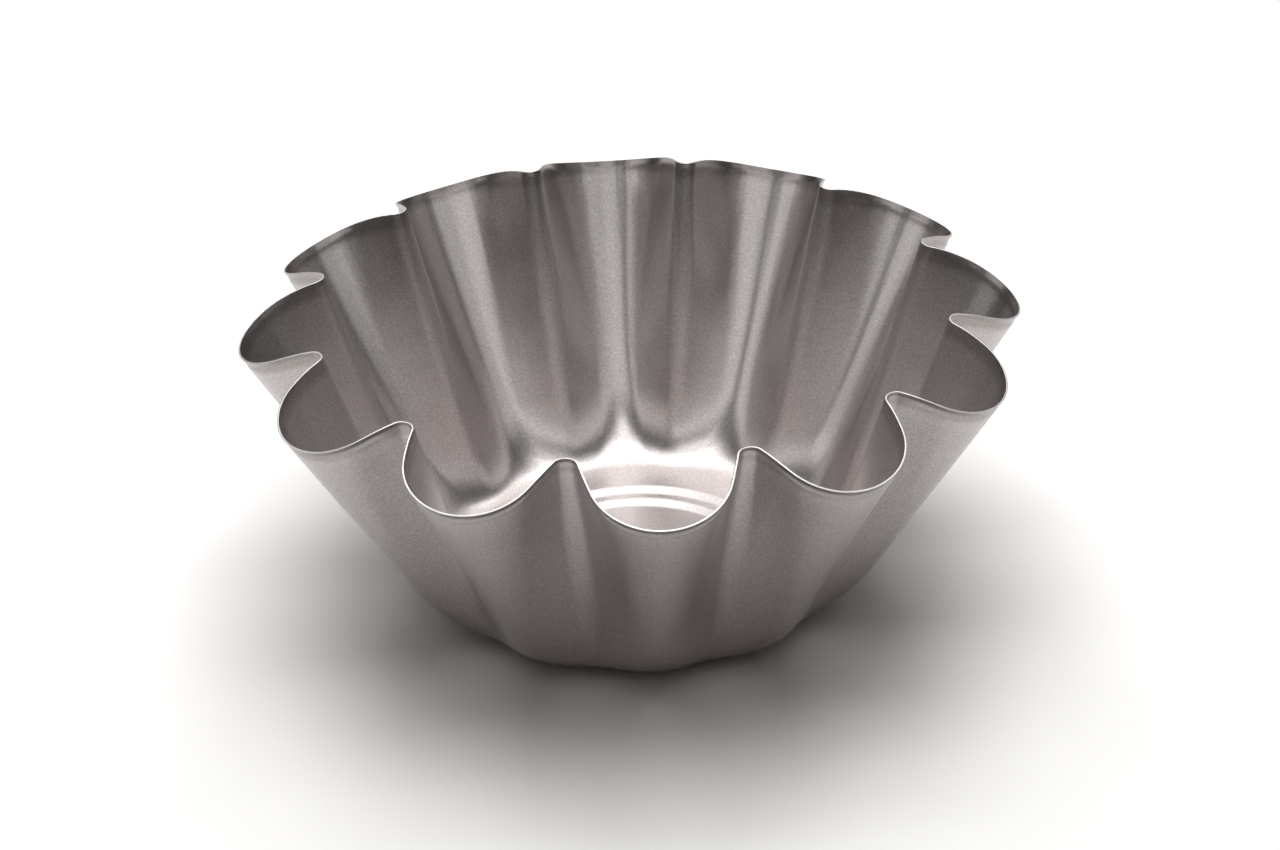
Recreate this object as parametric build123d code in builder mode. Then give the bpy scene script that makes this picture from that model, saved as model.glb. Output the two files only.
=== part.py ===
from build123d import *
from math import atan, atan2, cos, degrees, radians, sin
import os

# A fluted brioche mould: one thin steel pressing, open at the top, on a stepped round base.
#
# Millimetres, +Z up. The origin is under the middle of the base, on the surface that the mould stands on.
# The wall has outward lobes and narrow inward ridges. Its outline at any height is a ring of arcs and lines:
# a wide arc for each lobe, a small one for each ridge and a straight flank tangent to both. The lobes are
# deep at the rim and run out in a large rounding at the foot of the wall, so the floor inside is a plain
# round panel.

# Wall
lobe_count = 12
sheet_thickness = 0.5
shell_height = 89.5
rim_radius = 110.0
rim_flute_depth = 20.6
rim_ridge_round = 3.2
rim_drop = 9.0
rim_sweep_power = 1.45

# How much of each lobe's turn is left out for straight flanks, from 0, where lobes and ridges touch, to 1
rim_flank_share = 0.24
foot_flank_share = 0.5

# Foot of the wall, where its straight lines would meet the level of the floor
foot_radius = 61.7
foot_flute_depth = 2.1
foot_ridge_round = 8.4
rounding_width = 8.9
rounding_height = 19.8

# Floor panel, stepped down towards its middle
floor_flute_depth = 0.2
floor_ridge_round = 50.0
annulus_width = 10.0
step_run = 3.5
step_drop = 1.0
shelf_width = 2.2
bend_round = 4.0

# Overruns of the cuts
overrun = 6.0

half_pitch = 180 / lobe_count
blank_top = shell_height + 2 * overrun
floor_underside = 2 * step_drop
floor_radius = foot_radius - rounding_width
outer_step_radius = floor_radius - annulus_width
rim_ridge_radius = rim_radius - rim_flute_depth
crest_height = shell_height - rim_drop

# Underside of the floor panel in section, from the outer step to the axis
shelf_outer = outer_step_radius - step_run
shelf_inner = shelf_outer - shelf_width
foot_disc_radius = shelf_inner - step_run
underside = [
    (outer_step_radius, floor_underside),
    (shelf_outer, floor_underside - step_drop),
    (shelf_inner, floor_underside - step_drop),
    (foot_disc_radius, 0),
    (0, 0),
]

topside = [(radius, level + sheet_thickness) for radius, level in reversed(underside)]

# Radii at which the rim's cut face is drawn, from the ridges out past the crests
rim_cut_reach = rim_flute_depth + rim_drop + 2 * overrun
rim_cut_shares = [0, 0.1, 0.25, 0.5, 0.75, 1]
rim_cut_radii = [rim_ridge_radius + share * rim_cut_reach for share in rim_cut_shares]

# Heights of the wall's outlines, as shares from the top of the rounding to the top of the blank
wall_level_shares = [0, 0.2, 0.4, 0.6, 0.8, 1]
# Places along the rounding, from the wall at 0 to the floor at 1
rounding_shares = [0.22, 0.42, 0.6, 0.76, 0.9, 1]


def line_at(level, foot, top, top_level):
    """Radius of a straight wall line at a level, from its foot at the floor's level up to its top."""
    return foot + (top - foot) * (level - floor_underside) / (top_level - floor_underside)


def wall_radii(level, skin):
    """Crest radius, ridge radius, ridge rounding and flank share of the straight wall, skin deep in the sheet."""
    foot_crest = foot_radius + foot_flute_depth
    crest = line_at(level, foot_crest, rim_radius, crest_height)
    ridge = line_at(level, foot_radius, rim_ridge_radius, shell_height)
    ridge_round = line_at(level, foot_ridge_round, rim_ridge_round, shell_height)
    flank_share = line_at(level, foot_flank_share, rim_flank_share, shell_height)
    crest_lean = atan((rim_radius - foot_crest) / (crest_height - floor_underside))
    ridge_lean = atan((rim_ridge_radius - foot_radius) / (shell_height - floor_underside))
    return crest - skin / cos(crest_lean), ridge - skin / cos(ridge_lean), ridge_round + skin, flank_share


def rounding_outline(share, skin):
    """Level and radii at a share of the rounding: a curve from the wall to the floor that leaves both
    along their own direction, pulled towards the corner where their lines would meet."""
    top_level = floor_underside + rounding_height
    corner_level = floor_underside + skin
    start = wall_radii(top_level, skin)
    corner = wall_radii(corner_level, skin)
    end = (floor_radius + floor_flute_depth, floor_radius, floor_ridge_round, foot_flank_share)
    weights = ((1 - share) ** 2, 2 * share * (1 - share), share ** 2)
    level = corner_level + weights[0] * (top_level - corner_level)
    radii = [sum(weight * value for weight, value in zip(weights, three)) for three in zip(start, corner, end)]
    return level, radii


def fluted_outline(crest, ridge, ridge_round, flank_share):
    """Ring of lobes that reach out to the crest radius and ridges that reach in to the ridge radius, with a
    straight flank between each lobe and ridge."""
    turn = radians(half_pitch)
    ridge_centre = ridge + ridge_round
    across = ridge_centre ** 2 + crest ** 2 - 2 * ridge_centre * crest * cos(turn) - ridge_round ** 2
    widest_round = across / (2 * (crest + ridge_round - ridge_centre * cos(turn)))
    widest_half = atan2(ridge_centre * sin(turn), ridge_centre * cos(turn) - crest + widest_round)
    lobe_turn = widest_half - flank_share * (widest_half - turn)
    ridge_reach = ridge_centre * cos(lobe_turn - turn) - ridge_round
    lobe_round = (ridge_reach - crest * cos(lobe_turn)) / (1 - cos(lobe_turn))
    lobe_centre = crest - lobe_round
    lobe_half = degrees(lobe_turn)
    arcs = []
    for number in range(lobe_count):
        angle = 2 * half_pitch * number
        middle = radians(angle)
        place = (lobe_centre * cos(middle), lobe_centre * sin(middle))
        arcs.append(CenterArc(place, lobe_round, angle - lobe_half, 2 * lobe_half))
        middle = radians(angle + half_pitch)
        place = (ridge_centre * cos(middle), ridge_centre * sin(middle))
        arcs.append(CenterArc(place, ridge_round, angle + lobe_half + 180, 2 * half_pitch - 2 * lobe_half))
    for arc, following in zip(arcs, arcs[1:] + arcs[:1]):
        Line(arc @ 1, following @ 0)


def rim_level(radius):
    """Height of the rim's cut face: a power curve from the ridges down to the crests."""
    return shell_height - rim_drop * ((radius - rim_ridge_radius) / rim_flute_depth) ** rim_sweep_power


def outlines(skin):
    """Levels and sizes of the bowl's outlines from the top down, for the face that lies skin deep in the sheet."""
    bottom = floor_underside + rounding_height
    top = shell_height + overrun
    levels = [bottom + share * (top - bottom) for share in wall_level_shares]
    wall = [(level, wall_radii(level, skin)) for level in reversed(levels)]
    return wall + [rounding_outline(share, skin) for share in rounding_shares]


with BuildPart() as fluted_shell:
    # Bowl bounded by the outer face of the sheet, less the bowl bounded by its inner face
    for skin, mode in ((0, Mode.ADD), (sheet_thickness, Mode.SUBTRACT)):
        for level, radii in outlines(skin):
            with BuildSketch(Plane.XY.offset(level)):
                with BuildLine():
                    fluted_outline(*radii)
                make_face()
        loft(mode=mode)

    # Rim, cut along a dished face: level at the ridges and lower towards the crest of each lobe
    with BuildSketch(Plane.XZ):
        with BuildLine():
            cut_edge = Spline(*[(radius, rim_level(radius)) for radius in rim_cut_radii])
            Polyline(cut_edge @ 1, (rim_cut_radii[-1], blank_top), (0, blank_top), (0, shell_height), cut_edge @ 0)
        make_face()
    revolve(axis=Axis.Z, mode=Mode.SUBTRACT)

    # Stepped panel in place of the flat middle of the floor
    with BuildSketch(Plane.XZ):
        Rectangle(outer_step_radius, 2 * overrun, align=(Align.MIN, Align.CENTER))
    revolve(axis=Axis.Z, mode=Mode.SUBTRACT)
    with BuildSketch(Plane.XZ) as panel:
        with BuildLine():
            Polyline(*underside, *topside, close=True)
        make_face()
        bends = [corner for corner in panel.vertices() if 0 < corner.X < outer_step_radius]
        fillet(bends, radius=bend_round)
    revolve(axis=Axis.Z)

fluted_shell.part.label = "fluted_shell"
os.makedirs("parts", exist_ok=True)
export_step(fluted_shell.part, "parts/fluted_shell.step")
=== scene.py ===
from math import cos, pi, radians, sin

import bpy
import numpy as np
from mathutils import Matrix, Vector


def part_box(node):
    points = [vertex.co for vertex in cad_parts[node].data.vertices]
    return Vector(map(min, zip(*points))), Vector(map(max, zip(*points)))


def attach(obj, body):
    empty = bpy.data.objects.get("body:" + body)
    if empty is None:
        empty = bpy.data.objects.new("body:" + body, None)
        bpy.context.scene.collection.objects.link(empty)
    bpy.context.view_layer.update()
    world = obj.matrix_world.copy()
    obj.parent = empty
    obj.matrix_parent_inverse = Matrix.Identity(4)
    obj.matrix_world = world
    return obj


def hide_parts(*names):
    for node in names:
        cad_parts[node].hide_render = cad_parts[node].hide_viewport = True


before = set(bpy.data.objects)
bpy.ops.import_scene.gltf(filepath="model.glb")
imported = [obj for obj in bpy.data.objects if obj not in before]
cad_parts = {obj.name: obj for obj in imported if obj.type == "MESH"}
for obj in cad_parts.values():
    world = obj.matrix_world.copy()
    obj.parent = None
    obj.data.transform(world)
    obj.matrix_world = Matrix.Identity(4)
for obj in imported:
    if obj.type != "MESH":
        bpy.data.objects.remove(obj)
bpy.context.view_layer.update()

# A fluted brioche mould on a pale studio floor. Metres, +Z up, origin on the floor under the mould's axis.
# The mould is one pressing. Its surface is worked out from the sizes of the solid model, with the fine
# forms that the solid leaves out: the lip under the cut edge and the edge's own broken corners.

MM = 0.001
box_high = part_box("fluted_shell")[1]

# Wall of the mould, from its solid
lobe_count = 12
shell_height = box_high[2]
rim_radius = box_high[0]
sheet_thickness = 0.5 * MM
rim_flute_depth = 20.6 * MM
rim_ridge_round = 3.2 * MM
rim_drop = 9.0 * MM
rim_sweep_power = 1.45
rim_flank_share = 0.24
foot_flank_share = 0.5
foot_radius = 61.7 * MM
foot_flute_depth = 2.1 * MM
foot_ridge_round = 8.4 * MM
rounding_width = 8.9 * MM
rounding_height = 19.8 * MM

# Floor panel of the mould, from its solid
floor_flute_depth = 0.2 * MM
floor_ridge_round = 50 * MM
annulus_width = 10.0 * MM
step_run = 3.5 * MM
step_drop = 1.0 * MM
shelf_width = 2.2 * MM
bend_round = 4.0 * MM

# Lip under the cut edge: a shallow neck that makes the edge flare, with less of it on the inner face
lip_height = 3.2 * MM
neck_depth = 0.28 * MM
inner_neck_loss = 0.75
edge_break = 0.06 * MM
edge_break_share = 0.14

# Coat: cells to a metre in its flakes and its peel, and to a radian and a metre in its draw marks
flake_cells = 1700
peel_cells = 900
mark_cells_around = 15
mark_cells_up = 14
peel_relief = 0.03 * MM
peel_strength = 0.25
flake_relief_share = 0.6
mark_relief = 0.6 * MM
flake_dark = (0.23, 0.218, 0.215, 1)
flake_bright = (0.80, 0.742, 0.73, 1)
coat_roughness = 0.26
flake_roughness = 0.1

# Bare cut edge: cells to a metre in its marks, its colour, its roughness and what a mark adds to it
edge_mark_cells = 1500
edge_colour = (0.86, 0.85, 0.84, 1)
edge_roughness = 0.3
edge_mark_roughness = 0.2

# Painted shade on the coat below the rim, a darker and browner band: its height, the share of it that fades
# out, its strength and its colour
painted_shade_height = 5.6 * MM
painted_shade_fade = 0.4
painted_shade_strength = 0.34
painted_shade_colour = (0.13, 0.105, 0.085, 1)

# Grid of the surface
lobe_columns = 32
flank_columns = 4
ridge_columns = 14
wall_rows = 10
lip_rows = 13
rounding_rows = 14
bend_rows = 7
lip_row_power = 1.5
centre_ring_share = 0.05
edge_level_rounds = 40

half_pitch = pi / lobe_count
floor_underside = 2 * step_drop
floor_radius = foot_radius - rounding_width
outer_step_radius = floor_radius - annulus_width
rim_ridge_radius = rim_radius - rim_flute_depth
crest_height = shell_height - rim_drop
rounding_top = floor_underside + rounding_height

# Camera, matched to the photograph
picture_width = 1280
focal_pixels = 3054.1
sensor_width = 36
camera_place = Vector((-0.04916, -0.75601, 0.48411))
camera_aim = Vector((0.00721, 0.08368, 0))
camera_roll = radians(-1.557)

# Lamps: the point that they face, and the distance and height of the cards
lamp_aim = Vector((0, 0, 0.04))
card_distance = 1.5
card_height = 0.35

# Floor and room: the floor's reach to each side, and how bright both are to the camera and in the mould's
# gloss, and in the light that they throw
floor_reach = 4.0
floor_seen = (1.5, 1.49, 1.475, 1)
floor_thrown = (0.3, 0.295, 0.285, 1)
room_seen = 0.04
room_thrown = 0.01


def ring_columns():
    """Columns round the mould, lobe by lobe: lobe, flank, ridge and flank to the next lobe. For each column
    the directions of the middles of its lobe and its ridge, its places across them from -1 to 1, and its
    share of the way from the lobe to the ridge, which is 0 in a lobe and 1 in a ridge."""
    across_lobe = np.linspace(-1, 1, lobe_columns, endpoint=False)
    across_ridge = np.linspace(-1, 1, ridge_columns, endpoint=False)
    along_flank = np.linspace(0, 1, flank_columns, endpoint=False)
    one = np.ones(flank_columns)
    lobe_place = np.concatenate([across_lobe, one, 0 * across_ridge, -one])
    ridge_place = np.concatenate([0 * across_lobe, -one, across_ridge, one])
    share = np.concatenate([0 * across_lobe, along_flank, 0 * across_ridge + 1, 1 - along_flank])
    is_next = np.arange(len(share)) >= len(share) - flank_columns
    starts = 2 * half_pitch * np.arange(lobe_count)[:, None]
    lobe_middle = starts + 2 * half_pitch * is_next[None, :]
    ridge_middle = np.broadcast_to(starts + half_pitch, lobe_middle.shape)
    tiled = [np.tile(row, lobe_count) for row in (lobe_place, ridge_place, share)]
    return lobe_middle.ravel(), ridge_middle.ravel(), *tiled


lobe_middle, ridge_middle, lobe_place, ridge_place, ridge_share = ring_columns()


def ring_points(crest, ridge, ridge_round, flank_share, level):
    """Points of the wall's outline: lobe arcs that reach out to the crest radius, ridge arcs that reach in to
    the ridge radius, and straight flanks between. Each arc point is its arc's centre plus or minus the arc's
    radius times its outward direction, and a flank point is a share of the way between the two arcs' ends.
    Touching arcs would turn by the widest half; the lobes turn by less, so that the rest is straight."""
    ridge_centre = ridge + ridge_round
    apart = ridge_centre**2 + crest**2 - 2 * ridge_centre * crest * cos(half_pitch) - ridge_round**2
    widest_round = apart / (2 * (crest + ridge_round - ridge_centre * cos(half_pitch)))
    reach = ridge_centre * cos(half_pitch) - crest + widest_round
    widest_half = np.arctan2(ridge_centre * sin(half_pitch), reach)
    lobe_half = widest_half - flank_share * (widest_half - half_pitch)
    ridge_reach = ridge_centre * np.cos(lobe_half - half_pitch) - ridge_round
    lobe_round = (ridge_reach - crest * np.cos(lobe_half)) / (1 - np.cos(lobe_half))
    lobe_turn = lobe_middle + lobe_place * lobe_half
    ridge_turn = ridge_middle - ridge_place * (lobe_half - half_pitch)
    axes = []
    for part in (np.cos, np.sin):
        on_lobe = (crest - lobe_round) * part(lobe_middle) + lobe_round * part(lobe_turn)
        on_ridge = ridge_centre * part(ridge_middle) - ridge_round * part(ridge_turn)
        axes.append(on_lobe + ridge_share * (on_ridge - on_lobe))
    return np.stack([axes[0], axes[1], np.broadcast_to(level, axes[0].shape)], axis=-1)


def line_at(level, foot, top, top_level):
    """Radius of a straight wall line at a level, from its foot at the floor's level up to its top."""
    return foot + (top - foot) * (level - floor_underside) / (top_level - floor_underside)


def wall_radii(level, skin):
    """Crest radius, ridge radius, ridge rounding and flank share of the straight wall, skin deep in the
    sheet. Each is a straight line from foot to rim. A face that lies skin deep is skin / cos(lean) nearer to
    the axis, and its ridges are rounder by skin."""
    foot_crest = foot_radius + foot_flute_depth
    crest_lean = np.arctan((rim_radius - foot_crest) / (crest_height - floor_underside))
    ridge_lean = np.arctan((rim_ridge_radius - foot_radius) / (shell_height - floor_underside))
    crest = line_at(level, foot_crest, rim_radius, crest_height) - skin / np.cos(crest_lean)
    ridge = line_at(level, foot_radius, rim_ridge_radius, shell_height) - skin / np.cos(ridge_lean)
    ridge_round = line_at(level, foot_ridge_round, rim_ridge_round, shell_height) + skin
    flank_share = line_at(level, foot_flank_share, rim_flank_share, shell_height)
    return crest, ridge, ridge_round, flank_share


def rim_levels(skin):
    """Height of the cut edge at each column, where the column's wall line meets the dished cut face:
    level = height - drop * (way from the ridges to the crests) ** power. It is found by putting the wall's
    radius at the last level into that formula, again and again."""
    level = np.full(ridge_share.shape, shell_height)
    for _ in range(edge_level_rounds):
        points = ring_points(*wall_radii(level, skin), level)
        radius = np.hypot(points[..., 0], points[..., 1])
        share = np.clip((radius - rim_ridge_radius) / rim_flute_depth, 0, None)
        level = shell_height - rim_drop * share**rim_sweep_power
    return level


def wall_points(skin):
    """The straight wall from the top of the rounding up to the edge, skin deep in the sheet. Rows are even up
    to the lip, and in it they get closer towards the edge. In the lip each point moves in along the wall's
    normal by neck depth * sin(pi * depth below the edge / lip height) squared, and less on the inner face."""
    edge = rim_levels(skin)
    lip_depths = lip_height * np.linspace(1, 0, lip_rows) ** lip_row_power
    lip_depths[-1] = edge_break
    lip_start = edge - lip_height
    rise = np.linspace(0, 1, wall_rows, endpoint=False)[:, None]
    levels = np.concatenate([rounding_top + rise * (lip_start - rounding_top), edge - lip_depths[:, None]])
    points = ring_points(*wall_radii(levels, skin), levels)
    along = np.roll(points, -1, axis=1) - np.roll(points, 1, axis=1)
    up = np.gradient(points, axis=0)
    normal = np.cross(along, up)
    normal /= np.linalg.norm(normal, axis=-1, keepdims=True)
    depth = np.clip(edge - levels, 0, lip_height)
    face_share = 1 - inner_neck_loss * skin / sheet_thickness
    neck = face_share * neck_depth * np.sin(pi * depth / lip_height) ** 2
    return points - neck[..., None] * normal


def rounding_points(skin):
    """The rounding between wall and floor: every radius and level runs on a quadratic curve, (1-s)^2, 2s(1-s)
    and s^2 of its values at the wall, at the corner where wall and floor would meet, and at the floor."""
    share = np.linspace(0, 1, rounding_rows + 1)[1:, None]
    corner_level = floor_underside + skin
    start = wall_radii(rounding_top, skin)
    corner = wall_radii(corner_level, skin)
    end = (floor_radius + floor_flute_depth, floor_radius, floor_ridge_round, foot_flank_share)
    weights = ((1 - share) ** 2, 2 * share * (1 - share), share**2)
    stages = zip(start, corner, end)
    radii = [sum(weight * value for weight, value in zip(weights, stage)) for stage in stages]
    level = corner_level + weights[0] * (rounding_top - corner_level)
    return ring_points(*radii, level)


def rounded_line(corners, radius):
    """A line through corners with its bends rounded: at each inner corner a quadratic curve between the two
    points that lie radius * tan(half the turn) before and after it."""
    corners = np.array(corners)
    before = corners[:-2] - corners[1:-1]
    after = corners[2:] - corners[1:-1]
    before /= np.linalg.norm(before, axis=1, keepdims=True)
    after /= np.linalg.norm(after, axis=1, keepdims=True)
    turn = pi - np.arccos(np.sum(before * after, axis=1))
    reach = (radius * np.tan(turn / 2))[:, None]
    start = (corners[1:-1] + reach * before)[:, None, :]
    end = (corners[1:-1] + reach * after)[:, None, :]
    middle = corners[1:-1][:, None, :]
    share = np.linspace(0, 1, bend_rows)[None, :, None]
    curve = (1 - share) ** 2 * start + 2 * share * (1 - share) * middle + share**2 * end
    return np.concatenate([corners[:1], curve.reshape(-1, 2), corners[-1:]])


def panel_points(skin):
    """The floor panel inside the rounding, from its outer part to near the axis: each row is a circle of the
    profile's radius at the profile's level, along the directions of the rounding's last ring."""
    shelf_outer = outer_step_radius - step_run
    shelf_inner = shelf_outer - shelf_width
    disc = shelf_inner - step_run
    centre_ring = centre_ring_share * disc
    profile = [
        (outer_step_radius + annulus_width / 2, floor_underside),
        (outer_step_radius, floor_underside),
        (shelf_outer, floor_underside - step_drop),
        (shelf_inner, floor_underside - step_drop),
        (disc, 0),
        (centre_ring, 0),
    ]
    profile = rounded_line(profile, bend_round)
    last_ring = rounding_points(skin)[-1]
    direction = np.arctan2(last_ring[:, 1], last_ring[:, 0])
    radius = profile[:, :1]
    level = np.broadcast_to(profile[:, 1:] + skin, (len(profile), len(direction)))
    return np.stack([radius * np.cos(direction), radius * np.sin(direction), level], axis=-1)


def edge_points(outer_top, inner_top):
    """The cut edge between the top rows of the two faces: two rows near its corners, raised by the edge's
    break, so that the corners are slightly broken."""
    shares = np.array([edge_break_share, 1 - edge_break_share])[:, None, None]
    rows = outer_top * (1 - shares) + inner_top * shares
    rows[..., 2] += edge_break
    return rows


def shell_grid():
    """All rows of the pressing from the middle of its underside, out and up the outer face, over the cut edge
    and down the inner face to the middle of the floor. Also gives the rows between which the edge is bare."""
    outer_wall = wall_points(0)
    inner_wall = wall_points(sheet_thickness)
    outer = [panel_points(0)[::-1], rounding_points(0)[::-1], outer_wall]
    edge = edge_points(outer_wall[-1], inner_wall[-1])
    inner = [inner_wall[::-1], rounding_points(sheet_thickness), panel_points(sheet_thickness)]
    first_bare = sum(len(block) for block in outer) - 1
    return np.concatenate(outer + [edge] + inner), first_bare, first_bare + len(edge) + 1


def closed_mesh(name, grid, low_pole, high_pole):
    """Mesh of a grid of rows and columns that closes round in its columns, with a fan of triangles to a pole
    before its first row and after its last."""
    rows, columns = grid.shape[:2]
    index = np.arange(rows * columns).reshape(rows, columns)
    right = np.roll(index, -1, axis=1)
    quads = np.stack([index[:-1], right[:-1], right[1:], index[1:]], axis=-1).reshape(-1, 4)
    low = np.full(columns, rows * columns)
    high = low + 1
    low_fan = np.stack([low, right[0], index[0]], axis=-1)
    high_fan = np.stack([index[-1], right[-1], high], axis=-1)
    points = np.concatenate([grid.reshape(-1, 3), [low_pole, high_pole]])
    mesh = bpy.data.meshes.new(name)
    mesh.from_pydata(points.tolist(), [], quads.tolist() + low_fan.tolist() + high_fan.tolist())
    mesh.polygons.foreach_set("use_smooth", np.ones(len(mesh.polygons), dtype=bool))
    piece = bpy.data.objects.new(name, mesh)
    bpy.context.scene.collection.objects.link(piece)
    return piece


class Value:
    """What a node's socket gives, with the operators that add Math nodes."""

    def __init__(self, shader, socket):
        self.shader = shader
        self.socket = socket

    def maths(self, operation, *others):
        """A Math node of this operation on this value and the others."""
        return self.shader.node("ShaderNodeMath", {"operation": operation}, dict(enumerate((self,) + others)))

    def __add__(self, other):
        return self.maths("ADD", other)

    def __mul__(self, other):
        return self.maths("MULTIPLY", other)

    def __sub__(self, other):
        return self.maths("SUBTRACT", other)

    def __rsub__(self, other):
        return self.shader.node("ShaderNodeMath", {"operation": "SUBTRACT"}, {0: other, 1: self})

    __radd__ = __add__
    __rmul__ = __mul__


class Shader:
    """A material's or a world's nodes."""

    def __init__(self, holder):
        holder.use_nodes = True
        self.tree = holder.node_tree
        self.tree.nodes.clear()

    def node(self, kind, settings=(), inputs=(), output=0):
        """Adds a node: its settings first, then a value or a link for each named or numbered socket."""
        node = self.tree.nodes.new(kind)
        for name, value in dict(settings).items():
            setattr(node, name, value)
        for name, value in dict(inputs).items():
            if isinstance(value, Value):
                self.tree.links.new(value.socket, node.inputs[name])
            else:
                node.inputs[name].default_value = value
        return Value(self, node.outputs[output]) if node.outputs else None

    def noise(self, place, scale, detail=2.0, roughness=0.5):
        """A noise from about 0 to 1 with this many cells to a unit of its place."""
        inputs = {"Vector": place, "Scale": scale, "Detail": detail, "Roughness": roughness}
        return self.node("ShaderNodeTexNoise", {}, inputs)

    def vector(self, operation, first, second=(0, 0, 0)):
        """A Vector Math node of this operation."""
        return self.node("ShaderNodeVectorMath", {"operation": operation}, {0: first, 1: second})

    def seen(self):
        """1 for camera, glossy and transmission rays, 0 for the others."""
        camera = self.node("ShaderNodeLightPath", output="Is Camera Ray")
        glossy = self.node("ShaderNodeLightPath", output="Is Glossy Ray")
        return camera + glossy + self.node("ShaderNodeLightPath", output="Is Transmission Ray")

    def mix(self, share, first, second):
        """Mixes two colours."""
        inputs = {"Factor": share, "A": first, "B": second}
        return self.node("ShaderNodeMix", {"data_type": "RGBA"}, inputs, 2)


def coated_steel():
    """Satin metallic grey non-stick coat: fine flakes, a soft orange peel, and faint draw marks that run down
    the wall and fade towards its foot as (height / height of the rim) squared. In a band below the rim the
    coat is painted browner and darker, as painted shade. The band is where a point lies less than the painted
    shade height under the rim's cut face, whose level falls from the ridges outwards as height - drop * (way
    past the ridges / flute depth) ** power."""
    material = bpy.data.materials.new("satin_grey_coat")
    shader = Shader(material)
    place = shader.node("ShaderNodeTexCoord", output=3)
    height = shader.node("ShaderNodeSeparateXYZ", {}, {"Vector": place}, 2)
    flat = shader.vector("MULTIPLY", place, (1, 1, 0))
    around = shader.vector("MULTIPLY", shader.vector("NORMALIZE", flat), (mark_cells_around,) * 3)
    marks_place = shader.vector("ADD", around, shader.vector("MULTIPLY", place, (0, 0, mark_cells_up)))
    flakes = shader.noise(place, flake_cells, 3.0, 0.65)
    peel = shader.noise(place, peel_cells, 1.0)
    rim_share = height * float(1 / shell_height)
    draw_marks = shader.noise(marks_place, 1, 2.5) * rim_share * rim_share
    radius = shader.node("ShaderNodeVectorMath", {"operation": "LENGTH"}, {0: flat}, "Value")
    past_ridge = ((radius - float(rim_ridge_radius)) * float(1 / rim_flute_depth)).maths("MAXIMUM", 0.0)
    edge_level = float(shell_height) - float(rim_drop) * past_ridge.maths("POWER", rim_sweep_power)
    # Painted shade: the coat is mixed towards a darker, browner colour in a band under the rim's cut face
    band_share = (1.0 - (edge_level - height) * float(1 / painted_shade_height)).maths("MAXIMUM", 0.0)
    painted_shade = (band_share * (1 / painted_shade_fade)).maths("MINIMUM", 1.0)
    flake_colour = shader.mix(flakes, flake_dark, flake_bright)
    colour = shader.mix(painted_shade * painted_shade_strength, flake_colour, painted_shade_colour)
    marked = shader.node(
        "ShaderNodeBump",
        {},
        {"Strength": 1.0, "Distance": mark_relief, "Height": draw_marks},
    )
    bump = shader.node(
        "ShaderNodeBump",
        {},
        {
            "Strength": peel_strength,
            "Distance": peel_relief,
            "Height": peel + flake_relief_share * flakes,
            "Normal": marked,
        },
    )
    roughness = coat_roughness + flake_roughness * flakes
    coat = shader.node(
        "ShaderNodeBsdfPrincipled",
        {},
        {"Base Color": colour, "Metallic": 0.98, "Roughness": roughness, "Normal": bump},
    )
    shader.node("ShaderNodeOutputMaterial", {}, {"Surface": coat})
    return material


def bare_steel():
    """The cut edge of the sheet: bright bare steel, whose roughness varies with fine marks."""
    material = bpy.data.materials.new("bare_cut_edge")
    shader = Shader(material)
    place = shader.node("ShaderNodeTexCoord", output=3)
    marks = shader.noise(place, edge_mark_cells, 2.0)
    roughness = edge_roughness + edge_mark_roughness * marks
    steel = shader.node(
        "ShaderNodeBsdfPrincipled",
        {},
        {"Base Color": edge_colour, "Metallic": 0.6, "Roughness": roughness},
    )
    shader.node("ShaderNodeOutputMaterial", {}, {"Surface": steel})
    return material


def mould():
    """The pressing with its coat, bare along the cut edge. A face's strip, between two rows of the grid, is
    its number divided by the columns."""
    grid, first_bare, last_bare = shell_grid()
    piece = closed_mesh("mould", grid, (0, 0, 0), (0, 0, sheet_thickness))
    columns = grid.shape[1]
    strip = np.arange(len(piece.data.polygons)) // columns
    is_bare = (strip >= first_bare) & (strip < last_bare)
    piece.data.materials.append(coated_steel())
    piece.data.materials.append(bare_steel())
    piece.data.polygons.foreach_set("material_index", is_bare.astype(np.int32))
    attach(piece, "root")
    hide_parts("fluted_shell")
    return piece


def studio_floor():
    """A large pale floor, one square face, at the level that the mould stands on. It is white to the camera
    and in the mould's gloss, and darker in the light that it throws back."""
    corners = [
        (-floor_reach, -floor_reach, 0),
        (floor_reach, -floor_reach, 0),
        (floor_reach, floor_reach, 0),
        (-floor_reach, floor_reach, 0),
    ]
    mesh = bpy.data.meshes.new("studio_floor")
    mesh.from_pydata(corners, [], [(0, 1, 2, 3)])
    floor = bpy.data.objects.new("studio_floor", mesh)
    bpy.context.scene.collection.objects.link(floor)
    material = bpy.data.materials.new("white_floor")
    shader = Shader(material)
    colour = shader.mix(shader.seen(), floor_thrown, floor_seen)
    paint = shader.node("ShaderNodeBsdfDiffuse", {}, {"Color": colour})
    shader.node("ShaderNodeOutputMaterial", {}, {"Surface": paint})
    mesh.materials.append(material)


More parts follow.
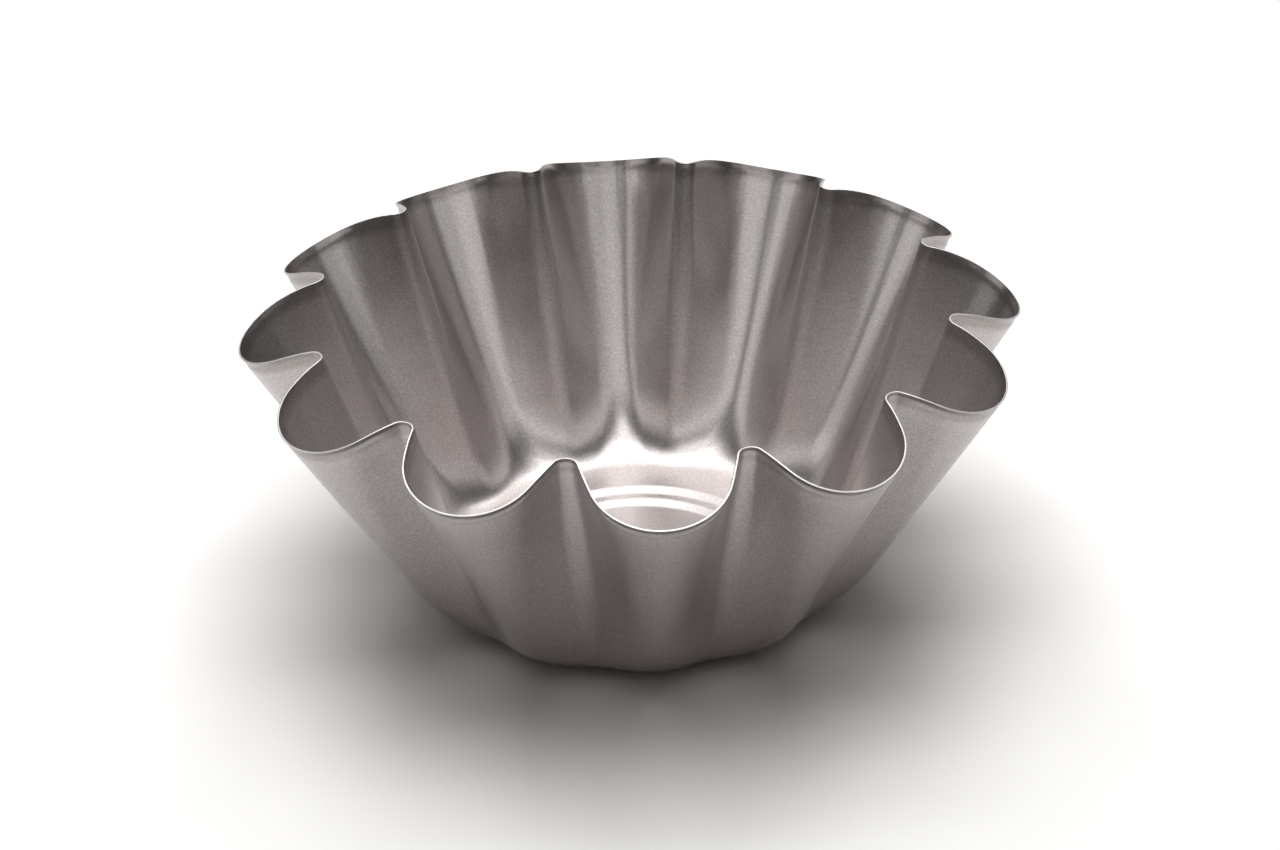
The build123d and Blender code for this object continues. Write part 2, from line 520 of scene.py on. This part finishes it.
def softbox(name, rise, turn, distance, width, height, radiance):
    """A rectangular lamp that faces the aim from a direction: rise above the floor and turn from +X, in
    degrees. Its power is radiance * pi * its area."""
    lamp = bpy.data.lights.new(name, "AREA")
    lamp.shape = "RECTANGLE"
    lamp.size = width
    lamp.size_y = height
    lamp.energy = radiance * pi * width * height
    rise = radians(rise)
    turn = radians(turn)
    direction = Vector((cos(rise) * cos(turn), cos(rise) * sin(turn), sin(rise)))
    holder = bpy.data.objects.new(name, lamp)
    holder.location = lamp_aim + distance * direction
    holder.rotation_mode = "QUATERNION"
    holder.rotation_quaternion = (-direction).to_track_quat("-Z", "Y")
    bpy.context.scene.collection.objects.link(holder)
    return holder


def card(name, rise, turn, width, radiance, lit):
    """A low, wide softbox that lights only what is in the lit collection."""
    holder = softbox(name, rise, turn, card_distance, width, card_height, radiance)
    holder.light_linking.receiver_collection = lit


def studio_light(piece):
    """Soft lamps overhead and high at the back, and cards in front and at each side that light the piece and
    not the floor, in a dim room."""
    lit = bpy.data.collections.new("lit_by_cards")
    lit.objects.link(piece)
    softbox("overhead", rise=90, turn=90, distance=1.3, width=1.0, height=1.0, radiance=3.2)
    softbox("back", rise=62, turn=90, distance=1.4, width=1.6, height=0.5, radiance=2.5)
    card("front_high", rise=58, turn=-92, width=0.5, radiance=3.4, lit=lit)
    card("front", rise=31, turn=-93, width=1.5, radiance=1.5, lit=lit)
    card("front_right", rise=32, turn=-42, width=0.9, radiance=1.1, lit=lit)
    card("left", rise=30, turn=195, width=1.3, radiance=1.5, lit=lit)
    card("right", rise=28, turn=10, width=0.9, radiance=0.5, lit=lit)
    world = bpy.data.worlds.new("room")
    bpy.context.scene.world = world
    shader = Shader(world)
    strength = room_thrown + (room_seen - room_thrown) * shader.seen()
    room = shader.node("ShaderNodeBackground", {}, {"Color": (1, 1, 1, 1), "Strength": strength})
    shader.node("ShaderNodeOutputWorld", {}, {"Surface": room})


def photograph_camera():
    """The camera at the photograph's place, angle and focal length."""
    data = bpy.data.cameras.new("camera")
    data.sensor_width = sensor_width
    data.lens = focal_pixels / picture_width * sensor_width
    camera = bpy.data.objects.new("camera", data)
    facing = (camera_aim - camera_place).to_track_quat("-Z", "Y").to_matrix().to_4x4()
    camera.matrix_world = Matrix.Translation(camera_place) @ facing @ Matrix.Rotation(camera_roll, 4, "Z")
    bpy.context.scene.collection.objects.link(camera)
    bpy.context.scene.camera = camera


pressing = mould()
studio_floor()
studio_light(pressing)
photograph_camera()
bpy.context.scene.view_settings.view_transform = "Standard"
